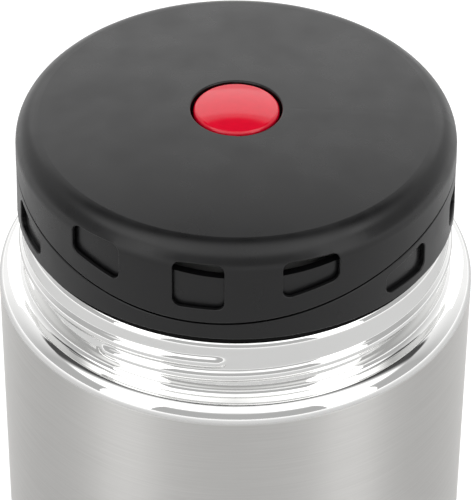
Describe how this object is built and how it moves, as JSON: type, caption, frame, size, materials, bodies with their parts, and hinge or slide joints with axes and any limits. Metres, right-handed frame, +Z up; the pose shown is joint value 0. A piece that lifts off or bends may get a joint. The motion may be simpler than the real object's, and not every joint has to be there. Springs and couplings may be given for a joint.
{
  "type": "insulated food jar",
  "caption": "Double-walled steel food jar with a wide mouth, a black screw stopper and a red push-button vent valve.",
  "frame": {"origin": "on the table, in the middle of the foot ring's underside", "axes": "+Z up along the jar's axis; the front, where the push button's view and the middle cap window are, faces -Y"},
  "size_m": [0.1064, 0.1064, 0.1779],
  "materials": {
    "brushed_steel": "satin",
    "seal_glass": "gloss",
    "getter_metal": "matte",
    "heat_foil": "polished",
    "black_plastic": "satin",
    "black_rubber": "matte",
    "grey_plastic": "satin",
    "white_foam": "matte",
    "screw_steel": "satin",
    "clear_silicone": "satin",
    "red_plastic": "satin",
    "spring_steel": "satin"
  },
  "bodies": {
    "jar": {"outer_shell": "brushed_steel", "inner_liner": "brushed_steel", "outer_base": "brushed_steel", "vacuum_seal_bead": "seal_glass", "getter": "getter_metal", "foil_wrap": "heat_foil", "base_cover": "black_plastic"},
    "main_seal": {"main_seal": "clear_silicone"},
    "stopper": {"stopper_cap": "black_plastic", "grip_ring": "black_plastic", "inner_sleeve": "black_plastic", "rim_gasket": "black_rubber", "plug_body": "grey_plastic", "plug_base": "grey_plastic", "insulation_foam": "white_foam", "cap_screws": "screw_steel", "valve_spring": "spring_steel"},
    "button": {"push_button": "red_plastic", "valve_stem": "grey_plastic", "valve_disc": "grey_plastic", "valve_seal": "clear_silicone", "valve_clip": "screw_steel"}
  },
  "joints": [
    {"name": "stopper_lift", "type": "slide", "parent": "jar", "child": "main_seal", "axis": [0, 0, 1], "range_m": [0, 0.0451]},
    {"name": "stopper_turn", "type": "hinge", "parent": "main_seal", "child": "stopper", "pos_m": [0, 0, 0.15], "axis": [0, 0, 1], "range_deg": [0, 1080]},
    {"name": "button_press", "type": "slide", "parent": "stopper", "child": "button", "axis": [0, 0, -1], "range_m": [0, 0.003], "stiffness_N_per_m": 1000, "springref_m": -0.002, "deforming": ["valve_spring"]}
  ],
  "couplings": [
    {"joint": "stopper_lift", "follows": "stopper_turn", "m_per_rad": 0.0023873}
  ]
}
